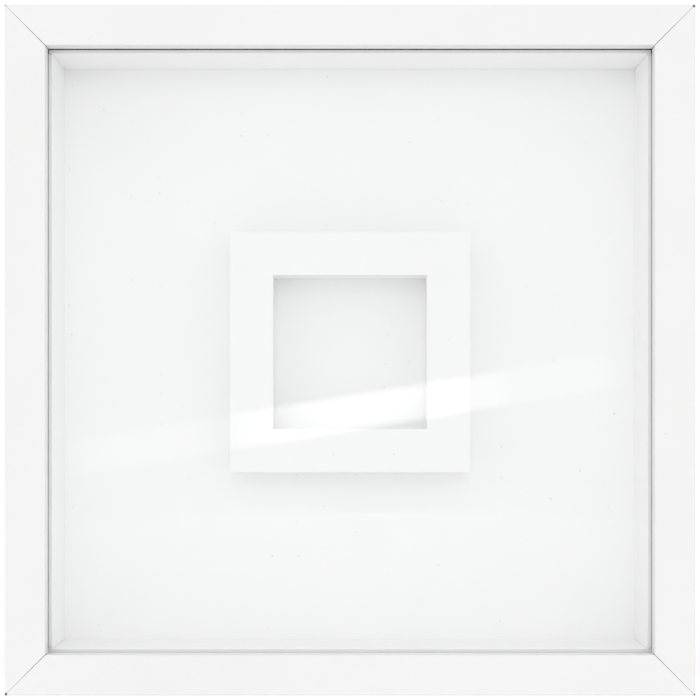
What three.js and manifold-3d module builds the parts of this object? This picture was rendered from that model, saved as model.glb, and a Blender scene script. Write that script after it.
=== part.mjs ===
// A square wall and table shadow box: a mitred white frame with a deep rebate, glazing held by a
// spacer liner, and a loading pack of backing board, raised window mat and back panel, kept in by
// four turn buttons. Units are millimetres, +Z is up, and the glazed front faces -Y.
import {
  BoxGeometry, BufferAttribute, BufferGeometry, ExtrudeGeometry, Group, LatheGeometry, Mesh,
  MeshStandardMaterial, Path, Shape, Vector2,
} from 'three'
import { mergeVertices } from 'three/addons/utils/BufferGeometryUtils.js'
import Module from 'manifold-3d'

// ---- driving dimensions ----
const gap = 0.3 // clearance left between pieces that touch on the real box

const sightWidth = 240 // clear opening seen from the front
const sightHeight = 240
const frameDepth = 45 // front face to back face of the rails

const faceWidth = 16 // rail, outer edge to sight edge
const wallThickness = 10.5 // rail behind the lip
const lipThickness = 7
const outerRound = 0.8 // softened front edges of the rail
const sightRound = 0.6

const glassThickness = 2
const spacerInset = 1.5 // how far the liner stops short of the lip, towards the middle
const backingThickness = 2
const panelThickness = 2.5
const panelSetback = 0.3 // back panel below the back face of the rails
const notchRadius = 9 // thumb notch in the lower edge of the back panel

const matWidth = 97 // raised window mat
const matHeight = 97
const windowWidth = 62
const windowHeight = 62
const matThickness = 2
const riserHeight = 19.3
const riserInset = 0.3 // riser strips stand back from the edges of the mat

const nailLeg = 6.5 // corner nail: an angle of thin steel driven across each mitre
const nailThickness = 0.7
const nailLength = 10
const nailEdge = 2.2 // from the outer faces of the frame to the nail
const nailSunk = 0.5

const buttonPivotRadius = 4.4 // round end of a turn button, about its screw
const buttonTipRadius = 2.8
const buttonReach = 17 // pivot to the centre of the tip
const buttonThickness = 1.4
const buttonSpacing = 150 // between the two buttons on a side rail

const screwRadius = 1.3
const screwClearance = 0.06 // running clearance of the button on its screw
const screwLength = 12
const screwHeadRadius = 3.1
const screwHeadHeight = 1.9
const screwHeadFlat = 1.9 // radius of the level top of the head
const screwHeadCrown = 1 // rounded part of the head's height
const slotWidth = 0.8 // cross slot in the screw head
const slotLength = 3.6
const slotDepth = 1

const hangerLength = 45
const hangerHeight = 8
const hangerThickness = 0.9
const hangerRise = 1.9 // middle of the hanger, off the rail
const hangerTab = 9 // flat end of the hanger
const hangerRamp = 2
const toothPitch = 3
const toothDepth = 2
const tackRadius = 0.7
const tackLength = 9
const tackHeadRadius = 2
const tackHeadHeight = 0.6

// ---- sizes that follow ----
const outerWidth = sightWidth + 2 * faceWidth
const outerHeight = sightHeight + 2 * faceWidth
const rebateWidth = outerWidth - 2 * wallThickness
const rebateHeight = outerHeight - 2 * wallThickness
const packWidth = rebateWidth - 2 * gap
const packHeight = rebateHeight - 2 * gap

const glassFront = lipThickness + gap // depths are measured back from the front face
const spacerFront = glassFront + glassThickness + gap
const panelFront = frameDepth - panelSetback - panelThickness
const backingFront = panelFront - gap - backingThickness
const spacerDepth = backingFront - gap - spacerFront
const spacerThickness = faceWidth + spacerInset - wallThickness - gap
const riserFront = backingFront - gap - riserHeight
const matFront = riserFront - gap - matThickness

const hardwareFront = frameDepth + gap
const screwHeadFront = hardwareFront + buttonThickness + gap
const overallDepth = screwHeadFront + screwHeadHeight

// ---- finishes ----
const finish = (color, roughness, metalness = 0) => new MeshStandardMaterial({ color, roughness, metalness })
const whiteFoil = finish(0xf6f6f5, 0.42)
const whiteLiner = finish(0xf3f3f2, 0.7)
const whiteBoard = finish(0xf2f2f1, 0.85)
const whiteMat = finish(0xf7f7f6, 0.85)
const foamBoard = finish(0xefefee, 0.8)
const hardboard = finish(0x8a6743, 0.75)
const zincSteel = finish(0xb9bcbe, 0.35, 1)
const clearGlass = finish(0xe8f0ee, 0.03)

// ---- solids ----
const wasm = await Module()
wasm.setup()

// A closed geometry as a solid that can be joined and cut.
function solid(geometry) {
  const bare = geometry.clone()
  bare.deleteAttribute('normal')
  bare.deleteAttribute('uv')
  const merged = mergeVertices(bare, 1e-4)
  const corners = []
  for (let i = 0; i < merged.index.count; i += 3) {
    const [a, b, c] = [0, 1, 2].map((k) => merged.index.getX(i + k))
    if (a !== b && b !== c && c !== a) corners.push(a, b, c)
  }
  const vertProperties = new Float32Array(merged.attributes.position.array)
  const triVerts = new Uint32Array(corners)
  return new wasm.Manifold(new wasm.Mesh({ numProp: 3, vertProperties, triVerts }))
}

function geometryOf(body) {
  const { numProp, vertProperties, triVerts } = body.getMesh()
  const positions = new Float32Array((vertProperties.length / numProp) * 3)
  for (let i = 0; i < positions.length / 3; i += 1) {
    for (let k = 0; k < 3; k += 1) positions[3 * i + k] = vertProperties[numProp * i + k]
  }
  const geometry = new BufferGeometry()
  geometry.setAttribute('position', new BufferAttribute(positions, 3))
  geometry.setIndex(new BufferAttribute(new Uint32Array(triVerts), 1))
  geometry.computeVertexNormals()
  return geometry
}

function cut(geometry, tools) {
  let body = solid(geometry)
  for (const tool of tools) body = body.subtract(solid(tool))
  return geometryOf(body)
}

function piece(name, geometry, material, x = 0, z = 0) {
  const mesh = new Mesh(geometry, material)
  mesh.name = name
  mesh.position.set(x, 0, z)
  return mesh
}

// An outline drawn as seen from the front, X across and Y up, given a thickness from a depth.
function sheet(outline, front, thickness, curveSegments = 8) {
  const geometry = new ExtrudeGeometry(outline, { depth: thickness, bevelEnabled: false, curveSegments })
  return geometry.rotateX(Math.PI / 2).translate(0, front + thickness, 0)
}

function block(width, front, depth, height) {
  return new BoxGeometry(width, depth, height).translate(0, front + depth / 2, 0)
}

function rectangle(width, height, Kind = Shape) {
  return new Kind([
    new Vector2(-width / 2, -height / 2),
    new Vector2(width / 2, -height / 2),
    new Vector2(width / 2, height / 2),
    new Vector2(-width / 2, height / 2),
  ])
}

function rod(radius, front, length, segments = 16) {
  const outline = new Shape().absarc(0, 0, radius, 0, 2 * Math.PI)
  return sheet(outline, front, length, segments)
}

// ---- frame ----
const buttonX = outerWidth / 2 - wallThickness / 2
const buttonZ = buttonSpacing / 2
const hangerZ = outerHeight / 2 - wallThickness / 2
const tackX = hangerLength / 2 - hangerTab / 2

// Rail section: x runs in from the outer face, y back from the front face.
function railSection() {
  const section = new Shape()
  section.moveTo(0, frameDepth)
  section.lineTo(0, outerRound)
  section.absarc(outerRound, outerRound, outerRound, Math.PI, 1.5 * Math.PI)
  section.lineTo(faceWidth - sightRound, 0)
  section.absarc(faceWidth - sightRound, sightRound, sightRound, 1.5 * Math.PI, 2 * Math.PI)
  section.lineTo(faceWidth, lipThickness)
  section.lineTo(wallThickness, lipThickness)
  section.lineTo(wallThickness, frameDepth)
  return section
}

// A rail lying along the bottom of a frame, its ends cut back at 45 degrees to the mitre gap.
function mitredRail(length, across) {
  const geometry = new ExtrudeGeometry(railSection(), { depth: 1, bevelEnabled: false, curveSegments: 3 })
  const position = geometry.attributes.position
  const setback = gap / Math.SQRT2
  for (let i = 0; i < position.count; i += 1) {
    const [inwards, back, end] = [position.getX(i), position.getY(i), position.getZ(i)]
    const half = length / 2 - inwards - setback
    position.setXYZ(i, end > 0.5 ? -half : half, back, inwards - across / 2)
  }
  return geometry
}

// The corner nail's angle, its point towards the frame's lower left corner, grown for its slot.
function nailOutline(grow) {
  const [low, thick, leg] = [-grow, nailThickness + grow, nailLeg + grow]
  return new Shape([
    new Vector2(low, low),
    new Vector2(leg, low),
    new Vector2(leg, thick),
    new Vector2(thick, thick),
    new Vector2(thick, leg),
    new Vector2(low, leg),
  ])
}

function cornerNail(turn, grow) {
  const front = frameDepth - nailSunk - nailLength - grow
  const length = nailLength + (grow ? grow + nailSunk + 1 : 0)
  const geometry = sheet(nailOutline(grow), front, length)
  const [width, height] = turn % 2 ? [outerHeight, outerWidth] : [outerWidth, outerHeight]
  geometry.translate(nailEdge - width / 2, 0, nailEdge - height / 2)
  return geometry.rotateY((turn * Math.PI) / 2)
}

const nailSlots = [0, 1, 2, 3].map((turn) => cornerNail(turn, gap))
const screwBore = rod(screwRadius + gap, frameDepth - screwLength - gap, screwLength + gap + 1)
const tackBore = rod(tackRadius + gap, frameDepth - tackLength - gap, tackLength + gap + 1)

function railTop() {
  const bores = [-1, 1].map((side) => tackBore.clone().translate(side * tackX, 0, hangerZ))
  return cut(mitredRail(outerWidth, outerHeight).rotateY(Math.PI), [...nailSlots, ...bores])
}

function railBottom() {
  return cut(mitredRail(outerWidth, outerHeight), nailSlots)
}

function railSide(side) {
  const bores = [-1, 1].map((end) => screwBore.clone().translate(side * buttonX, 0, end * buttonZ))
  const blank = mitredRail(outerHeight, outerWidth).rotateY((-side * Math.PI) / 2)
  return cut(blank, [...nailSlots, ...bores])
}

const frame = new Group()
frame.add(
  piece('rail_top', railTop(), whiteFoil),
  piece('rail_bottom', railBottom(), whiteFoil),
  piece('rail_left', railSide(-1), whiteFoil),
  piece('rail_right', railSide(1), whiteFoil),
)
const nailPlaces = ['bottom_left', 'top_left', 'top_right', 'bottom_right']
nailPlaces.forEach((place, turn) => {
  frame.add(piece(`corner_nail_${place}`, cornerNail(turn, 0), zincSteel))
})

// ---- glazing and liner ----
frame.add(piece('glazing', block(packWidth, glassFront, glassThickness, packHeight), clearGlass))

const sideLength = packHeight - 2 * (spacerThickness + gap)
const linerX = packWidth / 2 - spacerThickness / 2
const linerZ = packHeight / 2 - spacerThickness / 2
const linerLong = block(packWidth, spacerFront, spacerDepth, spacerThickness)
const linerShort = block(spacerThickness, spacerFront, spacerDepth, sideLength)
frame.add(
  piece('spacer_top', linerLong, whiteLiner, 0, linerZ),
  piece('spacer_bottom', linerLong, whiteLiner, 0, -linerZ),
  piece('spacer_left', linerShort, whiteLiner, -linerX, 0),
  piece('spacer_right', linerShort, whiteLiner, linerX, 0),
)

// ---- loading pack ----
function backPanel() {
  const [halfWidth, halfHeight] = [packWidth / 2, packHeight / 2]
  const outline = new Shape()
  outline.moveTo(halfWidth, -halfHeight)
  outline.lineTo(halfWidth, halfHeight)
  outline.lineTo(-halfWidth, halfHeight)
  outline.lineTo(-halfWidth, -halfHeight)
  outline.lineTo(-notchRadius, -halfHeight)
  outline.absarc(0, -halfHeight, notchRadius, Math.PI, 0, true)
  return sheet(outline, panelFront, panelThickness, 16)
}

function windowMat() {
  const outline = rectangle(matWidth, matHeight)
  outline.holes.push(rectangle(windowWidth, windowHeight, Path))
  return sheet(outline, matFront, matThickness)
}

const riserWide = matWidth - 2 * riserInset
const riserX = (matWidth - windowWidth) / 2 - 2 * riserInset
const riserZ = (matHeight - windowHeight) / 2 - 2 * riserInset
const riserLong = block(riserWide, riserFront, riserHeight, riserZ)
const riserTall = matHeight - 2 * riserInset - 2 * (riserZ + gap)
const riserShort = block(riserX, riserFront, riserHeight, riserTall)
const riserRow = matHeight / 2 - riserInset - riserZ / 2
const riserColumn = matWidth / 2 - riserInset - riserX / 2

const pack = new Group()
pack.add(
  piece('back_panel', backPanel(), hardboard),
  piece('backing_board', block(packWidth, backingFront, backingThickness, packHeight), whiteBoard),
  piece('riser_top', riserLong, foamBoard, 0, riserRow),
  piece('riser_bottom', riserLong, foamBoard, 0, -riserRow),
  piece('riser_left', riserShort, foamBoard, -riserColumn, 0),
  piece('riser_right', riserShort, foamBoard, riserColumn, 0),
  piece('window_mat', windowMat(), whiteMat),
)

// ---- turn buttons and their screws ----
// A button parked along its rail, its tip up; upwards is -1 to park the tip down.
function turnButton(upwards) {
  const lean = Math.asin((buttonPivotRadius - buttonTipRadius) / buttonReach)
  const outline = new Shape()
  outline.moveTo(buttonPivotRadius * Math.cos(lean), buttonPivotRadius * Math.sin(lean))
  outline.lineTo(buttonTipRadius * Math.cos(lean), buttonReach + buttonTipRadius * Math.sin(lean))
  outline.absarc(0, buttonReach, buttonTipRadius, lean, Math.PI - lean)
  outline.lineTo(-buttonPivotRadius * Math.cos(lean), buttonPivotRadius * Math.sin(lean))
  outline.absarc(0, 0, buttonPivotRadius, Math.PI - lean, 2 * Math.PI + lean)
  outline.holes.push(new Path().absarc(0, 0, screwRadius + screwClearance, 0, 2 * Math.PI))
  const geometry = sheet(outline, hardwareFront, buttonThickness, 24)
  return upwards < 0 ? geometry.rotateY(Math.PI) : geometry
}

// A pan head screw along the depth axis, its head towards the back.
function buttonScrew() {
  const shoulder = overallDepth - screwHeadCrown
  const profile = [
    new Vector2(0, frameDepth - screwLength),
    new Vector2(screwRadius, frameDepth - screwLength + 2 * screwRadius),
    new Vector2(screwRadius, screwHeadFront),
    new Vector2(screwHeadRadius, screwHeadFront),
  ]
  for (let step = 0; step <= 4; step += 1) {
    const angle = (step / 4) * (Math.PI / 2)
    const radius = screwHeadFlat + (screwHeadRadius - screwHeadFlat) * Math.cos(angle)
    profile.push(new Vector2(radius, shoulder + screwHeadCrown * Math.sin(angle)))
  }
  profile.push(new Vector2(0, overallDepth))
  const slot = new BoxGeometry(slotWidth, 2 * slotDepth, slotLength).translate(0, overallDepth, 0)
  const crossSlot = slot.clone().rotateY(Math.PI / 2)
  return cut(new LatheGeometry(profile, 24), [slot, crossSlot])
}

const hardware = new Group()
for (const [side, sideName] of [[-1, 'left'], [1, 'right']]) {
  for (const [end, endName] of [[-1, 'lower'], [1, 'upper']]) {
    const place = `${endName}_${sideName}`
    hardware.add(
      piece(`turn_button_${place}`, turnButton(end), zincSteel, side * buttonX, end * buttonZ),
      piece(`button_screw_${place}`, buttonScrew(), zincSteel, side * buttonX, end * buttonZ),
    )
  }
}

// ---- sawtooth hanger ----
function hangerBlank() {
  const foot = hangerLength / 2
  const bend = foot - hangerTab
  const top = bend - hangerRamp
  const half = [
    [foot, 0, hangerThickness],
    [bend, 0, hangerThickness],
    [top, hangerRise, hangerRise + hangerThickness],
  ]
  const mirrored = (side, row) => ([x, low, high]) => new Vector2(side * x, row ? high : low)
  const under = [...half.map(mirrored(-1, 0)), ...half.map(mirrored(1, 0)).reverse()]
  const over = [...half.map(mirrored(-1, 1)), ...half.map(mirrored(1, 1)).reverse()].reverse()
  const outline = new Shape([...under, ...over])
  const geometry = new ExtrudeGeometry(outline, { depth: hangerHeight, bevelEnabled: false })
  return geometry.translate(0, hardwareFront, -hangerHeight / 2)
}

// The row of notches cut up into the hanger's lower edge, leaving blunt teeth that point down.
function toothNotches() {
  const count = Math.floor((hangerLength - 2 * (hangerTab + hangerRamp)) / toothPitch)
  const low = -hangerHeight / 2
  const start = (-count * toothPitch) / 2
  const outline = new Shape()
  outline.moveTo(start, low - 1)
  for (let tooth = 0; tooth < count; tooth += 1) {
    outline.lineTo(start + tooth * toothPitch, low - toothDepth / 8)
    outline.lineTo(start + (tooth + 0.5) * toothPitch, low + toothDepth)
  }
  outline.lineTo(start + count * toothPitch, low - toothDepth / 8)
  outline.lineTo(start + count * toothPitch, low - 1)
  return sheet(outline, frameDepth, hangerRise + hangerThickness + 1)
}

function hangerTack() {
  const headFront = hardwareFront + hangerThickness + gap
  const profile = [
    new Vector2(0, frameDepth - tackLength),
    new Vector2(tackRadius, frameDepth - tackLength + 3 * tackRadius),
    new Vector2(tackRadius, headFront),
    new Vector2(tackHeadRadius, headFront),
    new Vector2(tackHeadRadius * 0.85, headFront + tackHeadHeight * 0.7),
    new Vector2(0, headFront + tackHeadHeight),
  ]
  return new LatheGeometry(profile, 20)
}

const tackHole = rod(tackRadius + gap, frameDepth, hangerThickness + 1)
const tackHoles = [-1, 1].map((side) => tackHole.clone().translate(side * tackX, 0, 0))
const hanger = cut(hangerBlank(), [toothNotches(), ...tackHoles])
hardware.add(
  piece('sawtooth_hanger', hanger, zincSteel, 0, hangerZ),
  piece('hanger_tack_left', hangerTack(), zincSteel, -tackX, hangerZ),
  piece('hanger_tack_right', hangerTack(), zincSteel, tackX, hangerZ),
)

// ---- the whole box, standing on its bottom rail ----
const shadowBox = new Group()
shadowBox.add(frame, pack, hardware)
shadowBox.position.set(0, -overallDepth / 2, outerHeight / 2)

export default shadowBox
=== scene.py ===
import math

import bmesh
import bpy
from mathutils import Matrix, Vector


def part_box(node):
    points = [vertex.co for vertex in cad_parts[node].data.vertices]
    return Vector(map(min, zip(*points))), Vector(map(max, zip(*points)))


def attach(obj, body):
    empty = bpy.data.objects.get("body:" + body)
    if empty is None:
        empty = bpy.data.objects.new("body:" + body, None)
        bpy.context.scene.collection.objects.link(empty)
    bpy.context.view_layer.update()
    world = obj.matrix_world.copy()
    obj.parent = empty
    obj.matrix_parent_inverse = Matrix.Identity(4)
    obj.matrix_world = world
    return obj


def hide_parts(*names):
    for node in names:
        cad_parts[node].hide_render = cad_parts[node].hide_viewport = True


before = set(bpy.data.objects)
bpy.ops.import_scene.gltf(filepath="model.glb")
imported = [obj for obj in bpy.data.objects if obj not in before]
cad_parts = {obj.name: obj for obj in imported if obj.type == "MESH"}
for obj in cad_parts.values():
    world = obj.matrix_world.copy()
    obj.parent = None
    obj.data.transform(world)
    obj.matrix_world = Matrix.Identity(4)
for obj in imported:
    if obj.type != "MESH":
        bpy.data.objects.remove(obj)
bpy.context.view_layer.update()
mm = 0.001
scene = bpy.context.scene

# sizes read from the frame
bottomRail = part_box("rail_bottom")
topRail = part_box("rail_top")
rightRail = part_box("rail_right")
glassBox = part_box("glazing")
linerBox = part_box("spacer_top")
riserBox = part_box("riser_top")

touchGap = 0.3 * mm  # clearance the frame leaves between touching pieces
frontY = bottomRail[0].y
railBackY = bottomRail[1].y
halfWidth = rightRail[1].x
centreZ = (topRail[1].z + bottomRail[0].z) / 2
halfHeight = topRail[1].z - centreZ
faceWidth = bottomRail[1].z - bottomRail[0].z
wallThickness = halfWidth - glassBox[1].x - touchGap
lipDepth = glassBox[0].y - touchGap - frontY
print("frame read: half width %.4f, face %.4f, wall %.4f" % (halfWidth, faceWidth, wallThickness))


# helpers for shader nodes
def joinUp(tree, value, socket):
    if isinstance(value, bpy.types.NodeSocket):
        tree.links.new(value, socket)
    elif value is not None:
        socket.default_value = value


def calc(tree, operation, *values):
    node = tree.nodes.new("ShaderNodeMath")
    node.operation = operation
    for value, socket in zip(values, node.inputs):
        joinUp(tree, value, socket)
    return node.outputs[0]


def blendColours(tree, share, first, second):
    node = tree.nodes.new("ShaderNodeMix")
    node.data_type = "RGBA"
    node.blend_type = "MIX"
    joinUp(tree, share, node.inputs[0])
    joinUp(tree, first, node.inputs[6])
    joinUp(tree, second, node.inputs[7])
    return node.outputs[2]


def between(tree, value, low, high, newLow=0.0, newHigh=1.0):
    node = tree.nodes.new("ShaderNodeMapRange")
    node.clamp = True
    joinUp(tree, value, node.inputs["Value"])
    for label, bound in (("From Min", low), ("From Max", high), ("To Min", newLow), ("To Max", newHigh)):
        joinUp(tree, bound, node.inputs[label])
    return node.outputs[0]


def mottle(tree, tone, dark, pale):
    # two close colours that follow an effect's tone
    return blendColours(tree, between(tree, tone, 0.35, 0.65), dark, pale)


def tint(tree, mask, strength, colour, over):
    # lays a colour over another where the mask is, at a share of its full strength
    return blendColours(tree, calc(tree, "MULTIPLY", mask, strength), over, colour)


def objectAxes(tree):
    point = tree.nodes.new("ShaderNodeSeparateXYZ")
    joinUp(tree, objectPoint(tree), point.inputs[0])
    return point.outputs


def makeGroup(name, inputs, outputs):
    group = bpy.data.node_groups.new(name, "ShaderNodeTree")
    for label, value in inputs.items():
        socket = group.interface.new_socket(name=label, in_out="INPUT", socket_type="NodeSocketFloat")
        socket.default_value = value
    for label in outputs:
        group.interface.new_socket(name=label, in_out="OUTPUT", socket_type="NodeSocketFloat")
    return group, group.nodes.new("NodeGroupInput"), group.nodes.new("NodeGroupOutput")


def objectPoint(tree, stretch=(1, 1, 1)):
    coordinates = tree.nodes.new("ShaderNodeTexCoord")
    if tuple(stretch) == (1, 1, 1):
        return coordinates.outputs["Object"]
    mapping = tree.nodes.new("ShaderNodeMapping")
    mapping.inputs["Scale"].default_value = stretch
    tree.links.new(coordinates.outputs["Object"], mapping.inputs["Vector"])
    return mapping.outputs[0]


def noiseAt(tree, point, scale, detail=4.0, roughness=0.55):
    node = tree.nodes.new("ShaderNodeTexNoise")
    node.inputs["Detail"].default_value = detail
    node.inputs["Roughness"].default_value = roughness
    joinUp(tree, point, node.inputs["Vector"])
    joinUp(tree, scale, node.inputs["Scale"])
    return node.outputs["Fac"]


# effects that several materials share
def paperToothGroup():
    # short matted fibres over a slow unevenness, as on card and wrapped foil
    tree, enter, leave = makeGroup("paperTooth", {"Scale": 900.0, "Unevenness": 25.0}, ("Height", "Tone"))
    point = objectPoint(tree)
    tooth = noiseAt(tree, point, enter.outputs["Scale"], 5.0, 0.65)
    slow = noiseAt(tree, point, enter.outputs["Unevenness"], 3.0)
    joinUp(tree, calc(tree, "MULTIPLY_ADD", slow, 0.35, tooth), leave.inputs["Height"])
    fine = calc(tree, "MULTIPLY", calc(tree, "SUBTRACT", tooth, 0.5), 0.6)
    joinUp(tree, calc(tree, "ADD", slow, fine), leave.inputs["Tone"])
    return tree


def pressedFibreGroup():
    # wood fibres pressed into board: fine pale hairs lying all ways, dark flecks and a matted ground
    inputs = {"Scale": 500.0, "Flecks": 0.5}
    tree, enter, leave = makeGroup("pressedFibre", inputs, ("Height", "Hairs", "Flecks"))
    scale = enter.outputs["Scale"]
    hairs = None
    for lay in range(5):
        mapping = tree.nodes.new("ShaderNodeMapping")
        mapping.vector_type = "TEXTURE"
        mapping.inputs["Location"].default_value = (0.013 * lay, 0, 0.029 * lay)
        mapping.inputs["Rotation"].default_value = (0, 0.3 + lay * math.pi / 5, 0)
        mapping.inputs["Scale"].default_value = (1, 1, 0.11)
        joinUp(tree, objectPoint(tree), mapping.inputs["Vector"])
        strand = between(tree, noiseAt(tree, mapping.outputs[0], scale, 2.0), 0.6, 0.74)
        hairs = strand if hairs is None else calc(tree, "MAXIMUM", hairs, strand)
    ground = noiseAt(tree, objectPoint(tree), calc(tree, "MULTIPLY", scale, 3.0), 5.0, 0.7)
    fleckScale = calc(tree, "MULTIPLY", scale, 1.6)
    fleckNoise = noiseAt(tree, objectPoint(tree, (1, 1, 2.4)), fleckScale, 2.0)
    threshold = calc(tree, "SUBTRACT", 0.86, calc(tree, "MULTIPLY", enter.outputs["Flecks"], 0.3))
    flecks = between(tree, fleckNoise, threshold, 0.82)
    joinUp(tree, calc(tree, "MULTIPLY_ADD", hairs, 0.5, ground), leave.inputs["Height"])
    joinUp(tree, hairs, leave.inputs["Hairs"])
    joinUp(tree, flecks, leave.inputs["Flecks"])
    return tree


def edgeWearGroup():
    # one on rubbed arrises, none on the flats: how far the rounded normal leans from the true one
    inputs = {"Radius": 0.4 * mm, "Reach": 0.06, "Patchiness": 0.6}
    tree, enter, leave = makeGroup("edgeWear", inputs, ("Mask",))
    bevel = tree.nodes.new("ShaderNodeBevel")
    bevel.samples = 4
    joinUp(tree, enter.outputs["Radius"], bevel.inputs["Radius"])
    geometry = tree.nodes.new("ShaderNodeNewGeometry")
    lean = tree.nodes.new("ShaderNodeVectorMath")
    lean.operation = "DOT_PRODUCT"
    joinUp(tree, bevel.outputs[0], lean.inputs[0])
    joinUp(tree, geometry.outputs["Normal"], lean.inputs[1])
    turned = calc(tree, "SUBTRACT", 1.0, lean.outputs["Value"])
    worn = between(tree, turned, 0.0, enter.outputs["Reach"])
    patches = between(tree, noiseAt(tree, objectPoint(tree), 160.0, 5.0), 0.35, 0.65)
    share = calc(tree, "MULTIPLY_ADD", calc(tree, "SUBTRACT", patches, 1.0), enter.outputs["Patchiness"], 1.0)
    joinUp(tree, calc(tree, "MULTIPLY", worn, share), leave.inputs["Mask"])
    return tree


def dustSpeckGroup():
    # a scatter of small specks, most cells left empty
    inputs = {"Scale": 60.0, "Share": 0.1, "Size": 0.02}
    tree, enter, leave = makeGroup("dustSpecks", inputs, ("Mask",))
    cells = tree.nodes.new("ShaderNodeTexVoronoi")
    cells.voronoi_dimensions = "2D"
    point = objectAxes(tree)
    flat = tree.nodes.new("ShaderNodeCombineXYZ")
    joinUp(tree, calc(tree, "MULTIPLY_ADD", point["Y"], 0.7, point["X"]), flat.inputs["X"])
    joinUp(tree, calc(tree, "MULTIPLY_ADD", point["Y"], 0.4, point["Z"]), flat.inputs["Y"])
    joinUp(tree, flat.outputs[0], cells.inputs["Vector"])
    joinUp(tree, enter.outputs["Scale"], cells.inputs["Scale"])
    split = tree.nodes.new("ShaderNodeSeparateColor")
    joinUp(tree, cells.outputs["Color"], split.inputs[0])
    chosen = calc(tree, "LESS_THAN", split.outputs[0], enter.outputs["Share"])
    reach = calc(tree, "MULTIPLY", enter.outputs["Size"], calc(tree, "ADD", split.outputs[1], 0.4))
    near = calc(tree, "LESS_THAN", cells.outputs["Distance"], reach)
    joinUp(tree, calc(tree, "MULTIPLY", chosen, near), leave.inputs["Mask"])
    return tree


def brushedMetalGroup():
    # drawn lines along the sheet, with a cloudy plating over them
    tree, enter, leave = makeGroup("brushedMetal", {"Scale": 900.0}, ("Height", "Tone", "Cloud"))
    lines = noiseAt(tree, objectPoint(tree, (0.06, 1, 1)), enter.outputs["Scale"], 4.0, 0.7)
    cloud = noiseAt(tree, objectPoint(tree), 240.0, 4.0)
    joinUp(tree, lines, leave.inputs["Height"])
    halfCloud = calc(tree, "MULTIPLY", cloud, 0.5)
    joinUp(tree, calc(tree, "MULTIPLY_ADD", lines, 0.5, halfCloud), leave.inputs["Tone"])
    joinUp(tree, between(tree, cloud, 0.42, 0.68), leave.inputs["Cloud"])
    return tree


paperTooth = paperToothGroup()
pressedFibre = pressedFibreGroup()
edgeWear = edgeWearGroup()
dustSpecks = dustSpeckGroup()
brushedMetal = brushedMetalGroup()


def place(tree, group, **values):
    node = tree.nodes.new("ShaderNodeGroup")
    node.node_tree = group
    for label, value in values.items():
        joinUp(tree, value, node.inputs[label])
    return node.outputs


def newMaterial(name, **sockets):
    material = bpy.data.materials.new(name)
    material.use_nodes = True
    tree = material.node_tree
    shader = tree.nodes["Principled BSDF"]
    for label, value in sockets.items():
        shader.inputs[label.replace("_", " ")].default_value = value
    return material, tree, shader


def bumpInto(tree, shader, height, distance, strength=1.0):
    bump = tree.nodes.new("ShaderNodeBump")
    bump.inputs["Strength"].default_value = strength
    bump.inputs["Distance"].default_value = distance
    joinUp(tree, height, bump.inputs["Height"])
    joinUp(tree, bump.outputs[0], shader.inputs["Normal"])


def roughen(tree, shader, tone, smoothest, roughest):
    joinUp(tree, between(tree, tone, 0.3, 0.7, smoothest, roughest), shader.inputs["Roughness"])


def grey(value, warm=0.0):
    return (value + warm, value, value - warm, 1.0)


# materials, each with its own values above it
railFinish = dict(
    foil=grey(0.885, 0.001), foilShade=grey(0.868, 0.0015), soiled=grey(0.60, 0.015),
    core=(0.40, 0.285, 0.178, 1), coreHair=(0.50, 0.375, 0.245, 1), coreFleck=(0.22, 0.14, 0.085, 1),
    roughness=0.42, tooth=700.0, unevenness=18.0, fibreScale=520.0, flecks=0.55,
    wearRadius=0.35 * mm, wearStrength=0.22, speckScale=75.0, speckShare=0.03, speckStrength=0.35,
    skin=0.25 * mm, backWrap=1.6 * mm, wander=0.6 * mm, relief=0.12 * mm,
    # tipShade is painted shade for the gap at a mitre's front tip
    tipChip=0.95 * mm, tipShade=(0.16, 0.15, 0.14, 1),
)


def foilCover(tree):
    # one where the white foil lies: front, outer faces, round the lip, and a strip turned over the back
    point = objectAxes(tree)
    skin = railFinish["skin"]
    across = calc(tree, "SUBTRACT", halfWidth, calc(tree, "ABSOLUTE", point["X"]))
    upright = calc(tree, "ABSOLUTE", calc(tree, "SUBTRACT", point["Z"], centreZ))
    upright = calc(tree, "SUBTRACT", halfHeight, upright)
    inwards = calc(tree, "MINIMUM", across, upright)
    depth = calc(tree, "SUBTRACT", point["Y"], frontY)
    front = calc(tree, "LESS_THAN", depth, skin)
    lipBack = calc(tree, "MULTIPLY", calc(tree, "LESS_THAN", depth, lipDepth + skin),
                   calc(tree, "GREATER_THAN", inwards, wallThickness + skin))
    front = calc(tree, "MAXIMUM", front, lipBack)
    outer = calc(tree, "LESS_THAN", inwards, skin)
    lipEdge = calc(tree, "GREATER_THAN", inwards, faceWidth - skin)
    wander = noiseAt(tree, objectPoint(tree), 90.0, 3.0)
    wrapEnd = calc(tree, "MULTIPLY_ADD", wander, railFinish["wander"], railFinish["backWrap"])
    turned = calc(tree, "LESS_THAN", inwards, wrapEnd)
    turned = calc(tree, "MULTIPLY", turned, calc(tree, "GREATER_THAN", depth, railBackY - frontY - skin))
    cover = calc(tree, "MAXIMUM", calc(tree, "MAXIMUM", front, outer), calc(tree, "MAXIMUM", lipEdge, turned))
    # distance from the front tip of a mitre
    corner = calc(tree, "MAXIMUM", calc(tree, "MAXIMUM", across, upright), depth)
    # foil chipped off near the front tip of a mitre; this mask also lays the dark grey painted shade of the
    # gap between the rails
    chippedTipShade = calc(tree, "LESS_THAN", corner, calc(tree, "MULTIPLY", wander, 2 * railFinish["tipChip"]))
    return calc(tree, "MULTIPLY", cover, calc(tree, "SUBTRACT", 1.0, chippedTipShade)), chippedTipShade


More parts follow.
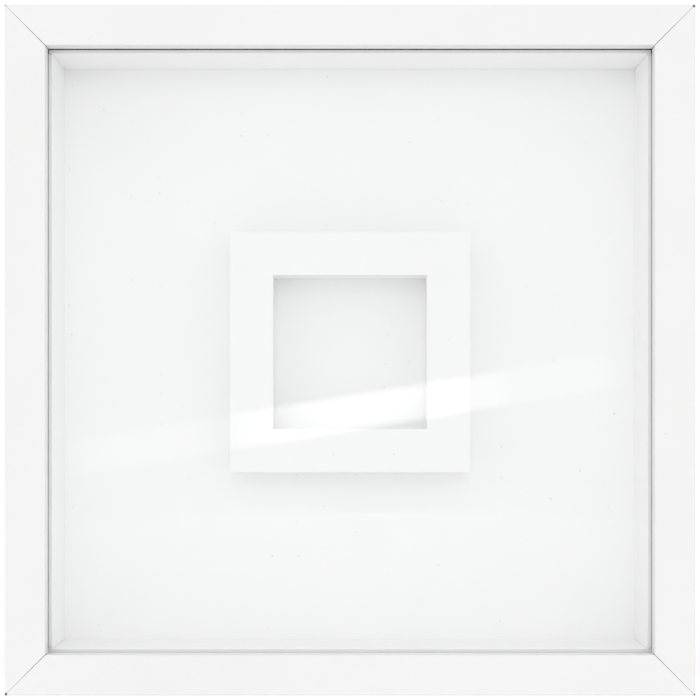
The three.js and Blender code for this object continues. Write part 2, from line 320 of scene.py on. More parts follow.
def makeRailMaterial():
    material, tree, shader = newMaterial("whiteFoilOnBoard", IOR=1.46)
    cover, chippedTipShade = foilCover(tree)
    finish = railFinish
    tooth = place(tree, paperTooth, Scale=finish["tooth"], Unevenness=finish["unevenness"])
    fibre = place(tree, pressedFibre, Scale=finish["fibreScale"], Flecks=finish["flecks"])
    wear = place(tree, edgeWear, Radius=finish["wearRadius"], Reach=0.5, Patchiness=0.8)
    specks = place(tree, dustSpecks, Scale=finish["speckScale"], Share=finish["speckShare"], Size=0.02)
    foil = mottle(tree, tooth["Tone"], finish["foilShade"], finish["foil"])
    foil = tint(tree, wear["Mask"], finish["wearStrength"], finish["soiled"], foil)
    foil = tint(tree, specks["Mask"], finish["speckStrength"], finish["soiled"], foil)
    core = blendColours(tree, fibre["Hairs"], finish["core"], finish["coreHair"])
    core = blendColours(tree, fibre["Flecks"], core, finish["coreFleck"])
    # the dark grey at a chipped mitre tip is painted shade of the gap, laid over the core colour
    core = blendColours(tree, chippedTipShade, core, finish["tipShade"])
    joinUp(tree, blendColours(tree, cover, core, foil), shader.inputs["Base Color"])
    sheen = between(tree, tooth["Tone"], 0.3, 0.7, finish["roughness"] - 0.05, finish["roughness"] + 0.06)
    joinUp(tree, between(tree, cover, 0.0, 1.0, 0.88, sheen), shader.inputs["Roughness"])
    height = calc(tree, "MULTIPLY_ADD", tooth["Height"], 0.25, calc(tree, "MULTIPLY", cover, 0.5))
    rough = calc(tree, "MULTIPLY", fibre["Height"], calc(tree, "SUBTRACT", 1.0, cover))
    bumpInto(tree, shader, calc(tree, "ADD", height, rough), finish["relief"], 0.5)
    return material


linerFinish = dict(
    foil=grey(0.96), shade=grey(0.954), rawBoard=(0.03, 0.027, 0.024, 1),
    turnOver=1.64 * mm, topTurnOverShadeEdge=1.44 * mm, bottomTurnOverShadeEdge=2.4 * mm, frontReach=0.3 * mm,
    tooth=1100.0, unevenness=30.0, roughness=0.5, rawRoughness=0.9, relief=0.012 * mm,
)


def makeLinerMaterial():
    # satin white foil wrapped round dark board; the foil ends a little way over the front edge, and the
    # near-black front beyond it is raw board and painted shadow of the gap behind the lip, its foil edge
    # nearer the opening on the top strip and further out on the bottom strip so the painted shadow line is
    # darkest at the top
    material, tree, shader = newMaterial("foilWrappedLiner", IOR=1.5)
    finish = linerFinish
    point = objectAxes(tree)
    across = calc(tree, "ABSOLUTE", point["X"])
    upright = calc(tree, "ABSOLUTE", calc(tree, "SUBTRACT", point["Z"], centreZ))
    innerHalf = linerBox[0].z - centreZ
    outwards = calc(tree, "SUBTRACT", calc(tree, "MAXIMUM", across, upright), innerHalf)
    frontEdge = calc(tree, "LESS_THAN", point["Y"], linerBox[0].y + finish["frontReach"])
    lies = calc(tree, "GREATER_THAN", upright, innerHalf)
    # the foil edge sits nearer the opening on the top strip than on the bottom strip, so the painted shadow
    # line is darkest at the top
    above = calc(tree, "GREATER_THAN", point["Z"], centreZ)
    shadeEdgeTopToBottom = between(tree, above, 0.0, 1.0, finish["bottomTurnOverShadeEdge"], finish["topTurnOverShadeEdge"])
    turnOver = between(tree, lies, 0.0, 1.0, finish["turnOver"], shadeEdgeTopToBottom)
    bareBoardShadowBand = calc(tree, "MULTIPLY", calc(tree, "GREATER_THAN", outwards, turnOver), frontEdge)
    tooth = place(tree, paperTooth, Scale=finish["tooth"], Unevenness=finish["unevenness"])
    foil = mottle(tree, tooth["Tone"], finish["shade"], finish["foil"])
    # the band beyond the foil edge takes the near-black colour: raw board and painted shadow line under the
    # lip
    joinUp(tree, blendColours(tree, bareBoardShadowBand, foil, finish["rawBoard"]), shader.inputs["Base Color"])
    sheen = between(tree, tooth["Tone"], 0.3, 0.7, finish["roughness"] - 0.04, finish["roughness"] + 0.06)
    joinUp(tree, between(tree, bareBoardShadowBand, 0.0, 1.0, sheen, finish["rawRoughness"]), shader.inputs["Roughness"])
    bumpInto(tree, shader, tooth["Height"], finish["relief"], 0.5)
    return material


backingFinish = dict(card=grey(0.95), shade=grey(0.943), tooth=1400.0, relief=0.012 * mm)
matFinish = dict(card=grey(0.91), shade=grey(0.9), tooth=900.0, relief=0.03 * mm)
cardWear = dict(radius=0.25 * mm, strength=0.12, rubbed=grey(0.6, 0.01))
cardSheen = dict(specular=0.25, unevenness=22.0, smoothest=0.78, roughest=0.9)
cardDust = dict(scale=85.0, share=0.28, size=0.022, strength=0.35, colour=grey(0.35, 0.01))


def makeCardMaterial(name, finish):
    material, tree, shader = newMaterial(name, IOR=1.4)
    shader.inputs["Specular IOR Level"].default_value = cardSheen["specular"]
    surface = place(tree, paperTooth, Scale=finish["tooth"], Unevenness=cardSheen["unevenness"])
    wear = place(tree, edgeWear, Radius=cardWear["radius"], Reach=0.5, Patchiness=0.7)
    dust = place(tree, dustSpecks, Scale=cardDust["scale"], Share=cardDust["share"], Size=cardDust["size"])
    card = mottle(tree, surface["Tone"], finish["shade"], finish["card"])
    card = tint(tree, wear["Mask"], cardWear["strength"], cardWear["rubbed"], card)
    card = tint(tree, dust["Mask"], cardDust["strength"], cardDust["colour"], card)
    joinUp(tree, card, shader.inputs["Base Color"])
    roughen(tree, shader, surface["Tone"], cardSheen["smoothest"], cardSheen["roughest"])
    bumpInto(tree, shader, surface["Height"], finish["relief"], 0.5)
    return material


foamFinish = dict(
    paper=grey(0.955), paperShade=grey(0.948), foam=(0.95, 0.953, 0.955, 1), cellShadeAndWear=grey(0.9),
    skin=0.4 * mm, cells=2600.0, layers=4, tooth=1600.0, unevenness=30.0, wearRadius=0.2 * mm,
    relief=0.05 * mm, smoothest=0.8, roughest=0.92,
)


def makeFoamMaterial():
    # boards glued in a stack: paper skins with a strip of cut foam between them, the foam's cells darkened in
    # their pits as painted shade
    material, tree, shader = newMaterial("stackedFoamBoard", IOR=1.4)
    shader.inputs["Specular IOR Level"].default_value = cardSheen["specular"]
    depth = calc(tree, "SUBTRACT", objectAxes(tree)["Y"], riserBox[0].y)
    layer = (riserBox[1].y - riserBox[0].y) / foamFinish["layers"]
    skin = calc(tree, "LESS_THAN", calc(tree, "PINGPONG", depth, layer / 2), foamFinish["skin"])
    cells = tree.nodes.new("ShaderNodeTexVoronoi")
    joinUp(tree, objectPoint(tree), cells.inputs["Vector"])
    joinUp(tree, foamFinish["cells"], cells.inputs["Scale"])
    pitsWithShade = between(tree, cells.outputs["Distance"], 0.1, 0.55)
    surface = place(tree, paperTooth, Scale=foamFinish["tooth"], Unevenness=foamFinish["unevenness"])
    wear = place(tree, edgeWear, Radius=foamFinish["wearRadius"], Reach=0.5, Patchiness=0.7)
    paper = mottle(tree, surface["Tone"], foamFinish["paperShade"], foamFinish["paper"])
    paper = tint(tree, wear["Mask"], 0.1, foamFinish["cellShadeAndWear"], paper)
    # the cut foam is darkened in its cell pits: painted shade in the hollows; the same grey also marks real
    # wear on the paper
    foam = tint(tree, pitsWithShade, 0.4, foamFinish["cellShadeAndWear"], foamFinish["foam"])
    joinUp(tree, blendColours(tree, skin, foam, paper), shader.inputs["Base Color"])
    roughen(tree, shader, surface["Tone"], foamFinish["smoothest"], foamFinish["roughest"])
    foamHeight = calc(tree, "MULTIPLY", calc(tree, "SUBTRACT", 1.0, skin), calc(tree, "MULTIPLY", pitsWithShade, -1.5))
    height = calc(tree, "MULTIPLY_ADD", surface["Height"], 0.2, foamHeight)
    bumpInto(tree, shader, height, foamFinish["relief"], 0.5)
    return material


hardboardFinish = dict(
    ground=(0.262, 0.158, 0.086, 1), pale=(0.305, 0.188, 0.106, 1), hair=(0.40, 0.265, 0.158, 1),
    fleck=(0.12, 0.065, 0.034, 1), rubbed=(0.46, 0.33, 0.21, 1), fibreScale=460.0, flecks=0.6,
    hairStrength=0.45, fleckStrength=0.8, wearRadius=0.5 * mm, wearStrength=0.6, cloudScale=22.0,
    relief=0.12 * mm,
)


def makeHardboardMaterial():
    material, tree, shader = newMaterial("pressedHardboard", IOR=1.45)
    finish = hardboardFinish
    fibre = place(tree, pressedFibre, Scale=finish["fibreScale"], Flecks=finish["flecks"])
    wear = place(tree, edgeWear, Radius=finish["wearRadius"], Reach=0.5, Patchiness=0.8)
    cloud = noiseAt(tree, objectPoint(tree), finish["cloudScale"], 6.0, 0.7)
    board = mottle(tree, cloud, finish["ground"], finish["pale"])
    board = tint(tree, fibre["Hairs"], finish["hairStrength"], finish["hair"], board)
    board = tint(tree, fibre["Flecks"], finish["fleckStrength"], finish["fleck"], board)
    board = tint(tree, wear["Mask"], finish["wearStrength"], finish["rubbed"], board)
    joinUp(tree, board, shader.inputs["Base Color"])
    joinUp(tree, between(tree, fibre["Height"], 0.3, 1.1, 0.55, 0.8), shader.inputs["Roughness"])
    bumpInto(tree, shader, fibre["Height"], finish["relief"], 0.45)
    return material


steelFinish = dict(
    bright=(0.56, 0.57, 0.58, 1), dull=(0.38, 0.39, 0.40, 1), warm=(0.47, 0.455, 0.42, 1),
    worn=(0.76, 0.76, 0.755, 1), wearRadius=0.3 * mm, wearStrength=0.7, cloudStrength=0.35, relief=0.03 * mm,
    sheetLines=900.0, sheetRoughness=0.36, turnedLines=1500.0, turnedRoughness=0.3,
)


def makeSteelMaterial(name, lineScale, roughness):
    material, tree, shader = newMaterial(name, Metallic=1.0)
    finish = steelFinish
    grain = place(tree, brushedMetal, Scale=lineScale)
    wear = place(tree, edgeWear, Radius=finish["wearRadius"], Reach=0.4, Patchiness=0.5)
    metal = mottle(tree, grain["Tone"], finish["dull"], finish["bright"])
    metal = tint(tree, grain["Cloud"], finish["cloudStrength"], finish["warm"], metal)
    metal = tint(tree, wear["Mask"], finish["wearStrength"], finish["worn"], metal)
    joinUp(tree, metal, shader.inputs["Base Color"])
    roughen(tree, shader, grain["Tone"], roughness - 0.07, roughness + 0.1)
    bumpInto(tree, shader, grain["Height"], finish["relief"], 0.4)
    return material


glassFinish = dict(tone=(0.995, 1.0, 0.998, 1), rippleScale=22.0, rippleHeight=0.35 * mm, rippleStrength=0.06)


def makeGlassMaterial():
    # clear float glass that lets lamps and bounced light through to what it covers
    material, tree, shader = newMaterial("clearFloatGlass", IOR=1.5, Roughness=0.0)
    shader.inputs["Base Color"].default_value = glassFinish["tone"]
    shader.inputs["Transmission Weight"].default_value = 1.0
    ripple = noiseAt(tree, objectPoint(tree, (1, 1, 0.5)), glassFinish["rippleScale"], 2.0)
    bumpInto(tree, shader, ripple, glassFinish["rippleHeight"], glassFinish["rippleStrength"])
    output = next(n for n in tree.nodes if n.type == "OUTPUT_MATERIAL")
    rays = tree.nodes.new("ShaderNodeLightPath")
    clear = tree.nodes.new("ShaderNodeBsdfTransparent")
    mix = tree.nodes.new("ShaderNodeMixShader")
    passing = calc(tree, "MAXIMUM", rays.outputs["Is Shadow Ray"], rays.outputs["Is Diffuse Ray"])
    joinUp(tree, passing, mix.inputs[0])
    tree.links.new(shader.outputs[0], mix.inputs[1])
    tree.links.new(clear.outputs[0], mix.inputs[2])
    tree.links.new(mix.outputs[0], output.inputs["Surface"])
    return material


railMaterial = makeRailMaterial()
linerMaterial = makeLinerMaterial()
backingMaterial = makeCardMaterial("whiteBackingCard", backingFinish)
matMaterial = makeCardMaterial("whiteMatBoard", matFinish)
foamMaterial = makeFoamMaterial()
hardboardMaterial = makeHardboardMaterial()
sheetSteel = makeSteelMaterial("zincPlatedSheet", steelFinish["sheetLines"], steelFinish["sheetRoughness"])
turnedSteel = makeSteelMaterial("zincPlatedScrew", steelFinish["turnedLines"], steelFinish["turnedRoughness"])
glassMaterial = makeGlassMaterial()
print("materials made")


# helpers for meshes
mergeWithin = 0.002 * mm  # points of a carved head closer than this are one point


def camelName(node):
    first, *rest = node.split("_")
    return first + "".join(word.capitalize() for word in rest)


def addPiece(name, mesh, body, material):
    mesh.materials.clear()
    mesh.materials.append(material)
    piece = bpy.data.objects.new(name, mesh)
    scene.collection.objects.link(piece)
    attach(piece, body)
    return piece


def openNode(node):
    # the node's solid with its flat faces whole again, ready to be worked on
    form = bmesh.new()
    form.from_mesh(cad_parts[node].data)
    bmesh.ops.remove_doubles(form, verts=form.verts, dist=1e-6)
    bmesh.ops.dissolve_limit(form, angle_limit=math.radians(0.5), verts=form.verts, edges=form.edges)
    return form


def sharpEdges(form, low, high=200):
    paired = [e for e in form.edges if len(e.link_faces) == 2]
    return [e for e in paired if low < math.degrees(e.calc_face_angle()) < high]


def roundEdges(form, edges, radius, segments):
    bmesh.ops.bevel(form, geom=edges, offset=radius, offset_type="OFFSET", segments=segments, profile=0.5,
                    affect="EDGES", clamp_overlap=True)


def closeForm(form, name, smoothBelow=40):
    mesh = bpy.data.meshes.new(name)
    bmesh.ops.recalc_face_normals(form, faces=form.faces)
    form.to_mesh(mesh)
    form.free()
    mesh.polygons.foreach_set("use_smooth", [True] * len(mesh.polygons))
    mesh.set_sharp_from_angle(angle=math.radians(smoothBelow))
    return mesh


def stretchEnds(form, axis, lowReach, highReach):
    # pushes the two end faces out along an axis, to close the clearance to the pieces they butt against
    middle = (min(v.co[axis] for v in form.verts) + max(v.co[axis] for v in form.verts)) / 2
    for vertex in form.verts:
        vertex.co[axis] += highReach if vertex.co[axis] > middle else -lowReach


def standIn(form, node, body, material, smoothBelow=40):
    # the finished form takes the node's place
    piece = addPiece(camelName(node), closeForm(form, node, smoothBelow), body, material)
    weighted = piece.modifiers.new("evenShading", "WEIGHTED_NORMAL")
    weighted.keep_sharp = True
    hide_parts(node)


def finePiece(node, body, material, radius, segments):
    form = openNode(node)
    roundEdges(form, sharpEdges(form, 25), radius, segments)
    standIn(form, node, body, material)


# rails
railShape = dict(arris=0.12 * mm, arrisSteps=3, sightGap=0.2 * mm, tipGap=0.05 * mm)


def closeMitre(form):
    # brings the mitre faces nearer to each other, closest at the outer tip; a point of a mitre face
    # lies half the clearance from the corner's diagonal, and all others are left alone
    for vertex in form.verts:
        across = halfWidth - abs(vertex.co.x)
        upright = halfHeight - abs(vertex.co.z - centreZ)
        offset = (upright - across) / math.sqrt(2)
        if abs(offset) > touchGap * 0.8 or abs(offset) < touchGap * 0.3:
            continue
        inwards = max(0.0, min(1.0, (across + upright) / 2 / faceWidth))
        gap = railShape["tipGap"] + (railShape["sightGap"] - railShape["tipGap"]) * inwards
        slide = (abs(offset) - gap / 2) * math.sqrt(2) * (1 if offset > 0 else -1)
        if isLying(form):
            vertex.co.x += math.copysign(slide * -1, vertex.co.x)
        else:
            vertex.co.z += math.copysign(slide, vertex.co.z - centreZ)


def isLying(form):
    xs = [v.co.x for v in form.verts]
    return max(xs) - min(xs) > halfWidth


def makeRail(node):
    form = openNode(node)
    closeMitre(form)
    roundEdges(form, sharpEdges(form, 40), railShape["arris"], railShape["arrisSteps"])
    standIn(form, node, "frame", railMaterial, 35)


for railNode in ("rail_top", "rail_bottom", "rail_left", "rail_right"):
    makeRail(railNode)
print("rails made")

# glazing, liner and corner nails
glazingPane = dict(seamedEdge=0.25 * mm, steps=2)
linerStrip = dict(foldRadius=0.35 * mm, steps=4, backEdge=0.06 * mm, backSteps=2, reach=touchGap * 0.85)
cornerNail = dict(edge=0.12 * mm, steps=2)


def makeLinerStrip(node, butted):
    # foil folded round the front edges; the back is cut square and stands tight on the backing board
    form = openNode(node)
    stretchEnds(form, 1, 0.0, linerStrip["reach"])
    if butted:
        stretchEnds(form, 2, linerStrip["reach"], linerStrip["reach"])
    back = max(v.co.y for v in form.verts) - 0.01 * mm
    folded = [e for e in sharpEdges(form, 25) if min(v.co.y for v in e.verts) < back]
    roundEdges(form, folded, linerStrip["foldRadius"], linerStrip["steps"])
    cut = [e for e in sharpEdges(form, 25) if min(v.co.y for v in e.verts) > back]
    roundEdges(form, cut, linerStrip["backEdge"], linerStrip["backSteps"])
    standIn(form, node, "frame", linerMaterial)


finePiece("glazing", "frame", glassMaterial, glazingPane["seamedEdge"], glazingPane["steps"])
for side in ("top", "bottom", "left", "right"):
    makeLinerStrip("spacer_" + side, side in ("left", "right"))
for corner in ("bottom_left", "top_left", "top_right", "bottom_right"):
    finePiece("corner_nail_" + corner, "frame", sheetSteel,
              cornerNail["edge"], cornerNail["steps"])
print("glazing and liner made")

# loading pack
backingBoard = dict(cutEdge=0.2 * mm, steps=2)
windowMat = dict(cutEdge=0.14 * mm, steps=3)
backPanel = dict(sawnEdge=0.3 * mm, steps=3)
foamRiser = dict(cutEdge=0.12 * mm, steps=2, reach=touchGap * 0.85, groove=0.14 * mm,
                 cornerReach=0.3 * mm)


def cutAcross(form, depth):
    bmesh.ops.bisect_plane(form, geom=form.verts[:] + form.edges[:] + form.faces[:], dist=1e-7,
                           plane_co=(0, depth, 0), plane_no=(0, 1, 0))
    return [v for v in form.verts if abs(v.co.y - depth) < 1e-7]


def drawIn(form, ring, amount):
    # moves a ring of the block's sides towards its middle
    for axis in (0, 2):
        low = min(v.co[axis] for v in form.verts)
        high = max(v.co[axis] for v in form.verts)
        for vertex in ring:
            if vertex.co[axis] - low < foamRiser["cornerReach"]:
                vertex.co[axis] += amount
            elif high - vertex.co[axis] < foamRiser["cornerReach"]:
                vertex.co[axis] -= amount


def makeRiser(side):
    node = "riser_" + side
    form = openNode(node)
    stretchEnds(form, 1, foamRiser["reach"], foamRiser["reach"])
    if side in ("left", "right"):
        stretchEnds(form, 2, foamRiser["reach"], foamRiser["reach"])
    roundEdges(form, sharpEdges(form, 25), foamRiser["cutEdge"], foamRiser["steps"])
    layer = (riserBox[1].y - riserBox[0].y) / foamFinish["layers"]
    for joint in range(1, foamFinish["layers"]):
        depth = riserBox[0].y + joint * layer
        cutAcross(form, depth - foamRiser["groove"])
        cutAcross(form, depth + foamRiser["groove"])
        drawIn(form, cutAcross(form, depth), foamRiser["groove"])
    standIn(form, node, "loading_pack", foamMaterial, 30)


finePiece("backing_board", "loading_pack", backingMaterial,
          backingBoard["cutEdge"], backingBoard["steps"])
finePiece("window_mat", "loading_pack", matMaterial, windowMat["cutEdge"], windowMat["steps"])
for side in ("top", "bottom", "left", "right"):
    makeRiser(side)
finePiece("back_panel", "loading_pack", hardboardMaterial,
          backPanel["sawnEdge"], backPanel["steps"])
print("loading pack made")


# turned hardware is a profile of (depth, radius) points spun about a line along Y
def spun(profile, segments, middle, swell=None):
    form = bmesh.new()
    rings = []
    for depth, radius in profile[1:-1]:
        ring = []
        for step in range(segments):
            angle = 2 * math.pi * step / segments
            reach = radius + (swell(depth, angle) if swell else 0.0)
            across = middle.x + reach * math.cos(angle)
            upright = middle.z + reach * math.sin(angle)
            ring.append(form.verts.new((across, depth, upright)))
        rings.append(ring)
    for low, high in zip(rings, rings[1:]):
        for step in range(segments):
            beside = (step + 1) % segments
            form.faces.new((low[step], low[beside], high[beside], high[step]))
    for ring, end in ((rings[0], profile[0]), (rings[-1], profile[-1])):
        tip = form.verts.new((middle.x, end[0], middle.z))
        for step in range(segments):
            form.faces.new((ring[step], ring[(step + 1) % segments], tip))
    return form


def carved(mesh, cutter):
    body = bpy.data.objects.new("carvedBody", mesh)
    tool = bpy.data.objects.new("carvingTool", cutter)
    for holder in (body, tool):
        scene.collection.objects.link(holder)
    carve = body.modifiers.new("carve", "BOOLEAN")
    carve.operation = "DIFFERENCE"
    carve.solver = "EXACT"
    carve.object = tool
    bpy.context.view_layer.update()
    result = bpy.data.meshes.new_from_object(body.evaluated_get(bpy.context.evaluated_depsgraph_get()))
    for holder in (body, tool):
        bpy.data.objects.remove(holder)
    form = bmesh.new()
    form.from_mesh(result)
    bmesh.ops.remove_doubles(form, verts=form.verts, dist=mergeWithin)
    bmesh.ops.dissolve_degenerate(form, edges=form.edges, dist=mergeWithin)
    form.to_mesh(result)
    form.free()
    return result


buttonScrew = dict(
    shankRadius=1.3 * mm, rootRadius=0.94 * mm, point=2.6 * mm, pitch=1.1 * mm, ridgeShare=0.3,
    plainShoulder=1.0 * mm, headHeight=1.9 * mm, rim=0.22 * mm, rimSteps=4,
    crown=1.0 * mm, crownWidth=1.2 * mm, crownSteps=8, domeDrop=0.05 * mm, segments=32,
    ringsPerTurn=8, crossWidth=0.8 * mm, crossLength=3.6 * mm, crossDepth=1.0 * mm, crossTaper=0.62,
    crossProud=0.2 * mm, crossFlare=1.05, shoulderFade=0.4 * mm,
)


def crossRecess(middle, top):
    # a cross that narrows as it goes down into the head
    form = bmesh.new()
    rings = []
    shape = buttonScrew
    for depth, taper in ((top + shape["crossProud"], shape["crossFlare"]),
                         (top - shape["crossDepth"], shape["crossTaper"])):
        wide = shape["crossWidth"] / 2 * taper
        long = shape["crossLength"] / 2 * taper
        quarter = [(long, -wide), (long, wide), (wide, wide)]
        ring = []
        for turn in range(4):
            cosine, sine = round(math.cos(turn * math.pi / 2)), round(math.sin(turn * math.pi / 2))
            for x, z in quarter:
                across = middle.x + x * cosine - z * sine
                upright = middle.z + x * sine + z * cosine
                ring.append(form.verts.new((across, depth, upright)))
        rings.append(ring)
    for step in range(12):
        beside = (step + 1) % 12
        form.faces.new((rings[0][step], rings[0][beside], rings[1][beside], rings[1][step]))
    for ring in rings:
        form.faces.new(ring)
    return closeForm(form, "crossRecess")


def makeScrew(station):
    node = "button_screw_" + station
    low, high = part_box(node)
    middle = (low + high) / 2
    shape = buttonScrew
    headFront = high.y - shape["headHeight"]
    headRadius = (high.x - low.x) / 2
    threadEnd = railBackY - shape["plainShoulder"]

    def thread(depth, angle):
        phase = ((depth - low.y) / shape["pitch"] - angle / (2 * math.pi)) % 1.0
        ridge = max(0.0, 1.0 - abs(phase - 0.5) / shape["ridgeShare"])
        start = min(1.0, (depth - low.y) / shape["point"])
        runOut = max(0.0, min(1.0, (threadEnd - depth) / shape["pitch"]))
        return ridge * start * runOut * (shape["shankRadius"] - shape["rootRadius"])

    profile = [(low.y, 0.0)]
    turns = int((threadEnd - low.y) / shape["pitch"] * shape["ringsPerTurn"])
    for ring in range(1, turns + 1):
        depth = low.y + (threadEnd - low.y) * ring / turns
        profile.append((depth, shape["rootRadius"] * min(1.0, (depth - low.y) / shape["point"])))
    profile.append((threadEnd + shape["shoulderFade"], shape["shankRadius"]))
    profile.append((headFront, shape["shankRadius"]))
    profile.append((headFront, headRadius - shape["rim"]))
    for step in range(1, shape["rimSteps"] + 1):
        angle = step / shape["rimSteps"] * math.pi / 2
        profile.append((headFront + shape["rim"] * (1 - math.cos(angle)),
                        headRadius - shape["rim"] * (1 - math.sin(angle))))
    for step in range(shape["crownSteps"] + 1):
        angle = step / shape["crownSteps"] * math.pi / 2
        profile.append((high.y - shape["crown"] * (1 - math.sin(angle)) - shape["domeDrop"] * math.sin(angle),
                        headRadius - shape["crownWidth"] * (1 - math.cos(angle))))
    flat = headRadius - shape["crownWidth"]
    for share in (0.7, 0.4, 0.15):
        profile.append((high.y - shape["domeDrop"] * share ** 2, flat * share))
    profile.append((high.y, 0.0))
    form = spun(profile, shape["segments"], middle, thread)
    mesh = carved(closeForm(form, node), crossRecess(middle, high.y))
    mesh.set_sharp_from_angle(angle=math.radians(38))
    piece = addPiece(camelName(node), mesh, "frame", turnedSteel)
    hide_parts(node)


turnButton = dict(rolledEdge=0.32 * mm, steps=4)
for station in ("lower_left", "upper_left", "lower_right", "upper_right"):
    finePiece("turn_button_" + station, "button_" + station, sheetSteel,
              turnButton["rolledEdge"], turnButton["steps"])
    makeScrew(station)
print("turn buttons and screws made")

sawtoothHanger = dict(bendRadius=1.0 * mm, bendSteps=6, cutEdge=0.13 * mm, cutSteps=2)


def makeHanger():
    form = openNode("sawtooth_hanger")
    bends = [e for e in sharpEdges(form, 35, 55) if abs(e.verts[0].co.x - e.verts[1].co.x) < 1e-6]
    roundEdges(form, bends, sawtoothHanger["bendRadius"], sawtoothHanger["bendSteps"])
    roundEdges(form, sharpEdges(form, 58), sawtoothHanger["cutEdge"], sawtoothHanger["cutSteps"])
    standIn(form, "sawtooth_hanger", "frame", sheetSteel, 35)


hangerTack = dict(shankRadius=0.7 * mm, point=2.1 * mm, headHeight=0.6 * mm, rim=0.12 * mm,
                  segments=32, domeSteps=8)


def makeTack(side):
    node = "hanger_tack_" + side
    low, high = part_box(node)
    headRadius = (high.x - low.x) / 2
    shape = hangerTack
    headFront = high.y - shape["headHeight"]
    profile = [(low.y, 0.0), (low.y + shape["point"], shape["shankRadius"]),
               (headFront, shape["shankRadius"]), (headFront, headRadius - shape["rim"] / 2)]
    dome = shape["headHeight"] - shape["rim"]
    for step in range(shape["domeSteps"]):
        angle = step / shape["domeSteps"] * math.pi / 2
        profile.append((headFront + shape["rim"] + dome * math.sin(angle), headRadius * math.cos(angle)))
    profile.append((high.y, 0.0))
    form = spun(profile, shape["segments"], (low + high) / 2)
    piece = addPiece(camelName(node), closeForm(form, node), "frame", turnedSteel)
    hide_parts(node)


makeHanger()
makeTack("left")
makeTack("right")
print("hanger made")

# floor, light and camera
studio = dict(
    floorRadius=3.0, glowFrom=0.3, glowTo=2.4, nearGlow=0.24, farGlow=0.1, seenGlow=0.36, mirroredGlow=0.23,
    backdrop=1.02, frontDome=0.94, backDome=0.7, frontEnds=-0.2, backStarts=0.4, sideGain=0.3, sideFocus=4.0,
    keyDistance=1.4, keyHeight=0.55, keyWidth=0.25, keyTall=0.29, keyPower=1.1,
    fillDistance=1.6, fillHeight=0.15, fillSize=0.3, fillPower=0.5,
)

floorPaint = dict(paint=grey(0.8), shade=0.985, tooth=300.0, unevenness=6.0, roughness=0.7, specular=0.2)


def makeFloor():
    bpy.ops.mesh.primitive_circle_add(vertices=96, radius=studio["floorRadius"], fill_type="NGON")
    floor = bpy.context.object
    floor.name = "paleFloor"
    material, tree, shader = newMaterial("paleFloorPaint", Roughness=floorPaint["roughness"])
    shader.inputs["Specular IOR Level"].default_value = floorPaint["specular"]
    surface = place(tree, paperTooth, Scale=floorPaint["tooth"], Unevenness=floorPaint["unevenness"])
    tone = between(tree, surface["Tone"], 0.3, 0.7)
    low = tuple(c * floorPaint["shade"] for c in floorPaint["paint"][:3]) + (1,)
    joinUp(tree, blendColours(tree, tone, low, floorPaint["paint"]), shader.inputs["Base Color"])
    # a light table, brightest under the box; seen or mirrored, it is as bright as the dome
    apart = tree.nodes.new("ShaderNodeVectorMath")
    apart.operation = "LENGTH"
    joinUp(tree, objectPoint(tree), apart.inputs[0])
    outwards = between(tree, apart.outputs["Value"], studio["glowFrom"], studio["glowTo"])
    glow = blendColours(tree, outwards, grey(studio["nearGlow"]), grey(studio["farGlow"]))
    rays = tree.nodes.new("ShaderNodeLightPath").outputs
    seen = blendColours(tree, rays["Is Camera Ray"], grey(studio["mirroredGlow"]), grey(studio["seenGlow"]))
    joinUp(tree, blendColours(tree, rays["Is Diffuse Ray"], seen, glow), shader.inputs["Emission Color"])
    shader.inputs["Emission Strength"].default_value = 1.0
    floor.data.materials.append(material)


def makeLight(name, centre, target, size, power, diffuse=True):
    lamp = bpy.data.lights.new(name, "AREA")
    lamp.shape = "RECTANGLE"
    lamp.size, lamp.size_y = size
    lamp.energy = power
    holder = bpy.data.objects.new(name, lamp)
    scene.collection.objects.link(holder)
    holder.location = centre
    holder.rotation_euler = (Vector(target) - Vector(centre)).to_track_quat("-Z", "Y").to_euler()
    holder.visible_camera = False
    holder.visible_glossy = not diffuse
    holder.visible_transmission = not diffuse
    holder.visible_diffuse = diffuse
    return holder


def makeWorld():
    # a soft dome, dimmer in front where the lamps are, with brighter walls to the left and right
    world = bpy.data.worlds.new("softStudio")
    scene.world = world
    world.use_nodes = True
    tree = world.node_tree
    background = tree.nodes["Background"]
    background.inputs["Color"].default_value = (1, 1, 1, 1)
    rays = tree.nodes.new("ShaderNodeLightPath")
    towards = tree.nodes.new("ShaderNodeSeparateXYZ")
    joinUp(tree, tree.nodes.new("ShaderNodeTexCoord").outputs["Generated"], towards.inputs[0])
    sideways = calc(tree, "POWER", calc(tree, "ABSOLUTE", towards.outputs["X"]), studio["sideFocus"])
    dome = between(tree, towards.outputs["Y"], studio["frontEnds"], studio["backStarts"],
                   studio["frontDome"], studio["backDome"])
    dome = calc(tree, "MULTIPLY_ADD", sideways, studio["sideGain"], dome)
    joinUp(tree, between(tree, rays.outputs["Is Camera Ray"], 0.0, 1.0, dome, studio["backdrop"]),
           background.inputs["Strength"])


view = dict(distance=0.70, sensor=36.0, lens=91.5, shift=0.12, nearest=0.01)


def makeCamera():
    lens = bpy.data.cameras.new("frontCamera")
    lens.lens = view["lens"]
    lens.sensor_width = view["sensor"]
    lens.shift_y = view["shift"]
    lens.clip_start = view["nearest"]
    camera = bpy.data.objects.new("frontCamera", lens)
    scene.collection.objects.link(camera)
    spread = view["distance"] * view["sensor"] / view["lens"]  # width seen at the front face
    camera.location = (0, frontY - view["distance"], centreZ - view["shift"] * spread)
    camera.rotation_euler = (math.pi / 2, 0, 0)
    scene.camera = camera


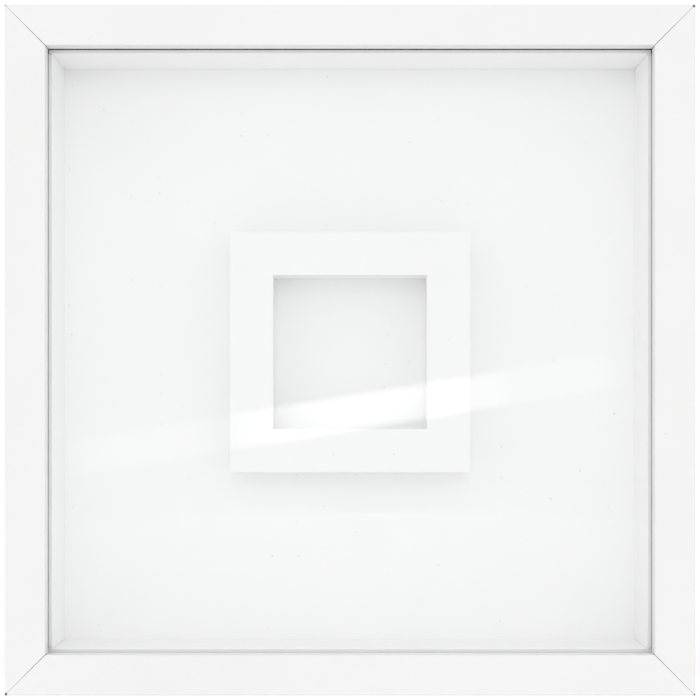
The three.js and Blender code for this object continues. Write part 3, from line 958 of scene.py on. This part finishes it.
makeFloor()
makeWorld()
makeCamera()
makeLight("keySoftbox", (0, frontY - studio["keyDistance"], studio["keyHeight"]), (0, frontY, centreZ),
          (studio["keyWidth"], studio["keyTall"]), studio["keyPower"])
makeLight("frontFill", (0, frontY - studio["fillDistance"], studio["fillHeight"]), (0, frontY, centreZ),
          (studio["fillSize"], studio["fillSize"]), studio["fillPower"])

streak = dict(
    standOff=1.5, length=0.72, breadth=0.05, height=0.128, side=-0.006, lean=9.3, power=0.23,
    brightest=0.545, fadeStart=0.12, fadeEnd=0.26, ends=0.17, softEdge=0.18, softTip=0.05,
)


def makeStreakLight():
    # a slit of light behind the camera, seen only as its reflection in the glazing
    centre = (streak["side"], glassBox[0].y - streak["standOff"], streak["height"])
    holder = makeLight("slitReflection", centre, (centre[0], 0, centre[2]),
                       (streak["length"], streak["breadth"]), streak["power"], diffuse=False)
    holder.rotation_euler = (math.pi / 2, math.radians(-streak["lean"]), 0)
    lamp = holder.data
    lamp.use_nodes = True
    tree = lamp.node_tree
    emission = next(n for n in tree.nodes if n.type == "EMISSION")
    across = tree.nodes.new("ShaderNodeSeparateXYZ")
    joinUp(tree, tree.nodes.new("ShaderNodeNewGeometry").outputs["Parametric"], across.inputs[0])
    fromMiddle = calc(tree, "ABSOLUTE", calc(tree, "SUBTRACT", across.outputs["X"], streak["brightest"]))
    lengthwise = between(tree, fromMiddle, streak["fadeStart"], streak["fadeEnd"], 1.0, streak["ends"])
    fromCentre = calc(tree, "ABSOLUTE", calc(tree, "SUBTRACT", across.outputs["X"], 0.5))
    tips = between(tree, fromCentre, 0.5, 0.5 - streak["softTip"])
    fromAxis = calc(tree, "ABSOLUTE", calc(tree, "SUBTRACT", across.outputs["Y"], 0.5))
    soft = between(tree, fromAxis, 0.5, 0.5 - streak["softEdge"])
    strength = calc(tree, "MULTIPLY", lengthwise, calc(tree, "MULTIPLY", soft, tips))
    joinUp(tree, strength, emission.inputs["Strength"])


makeStreakLight()
scene.view_settings.view_transform = "Standard"
scene.view_settings.look = "None"
print("studio made")
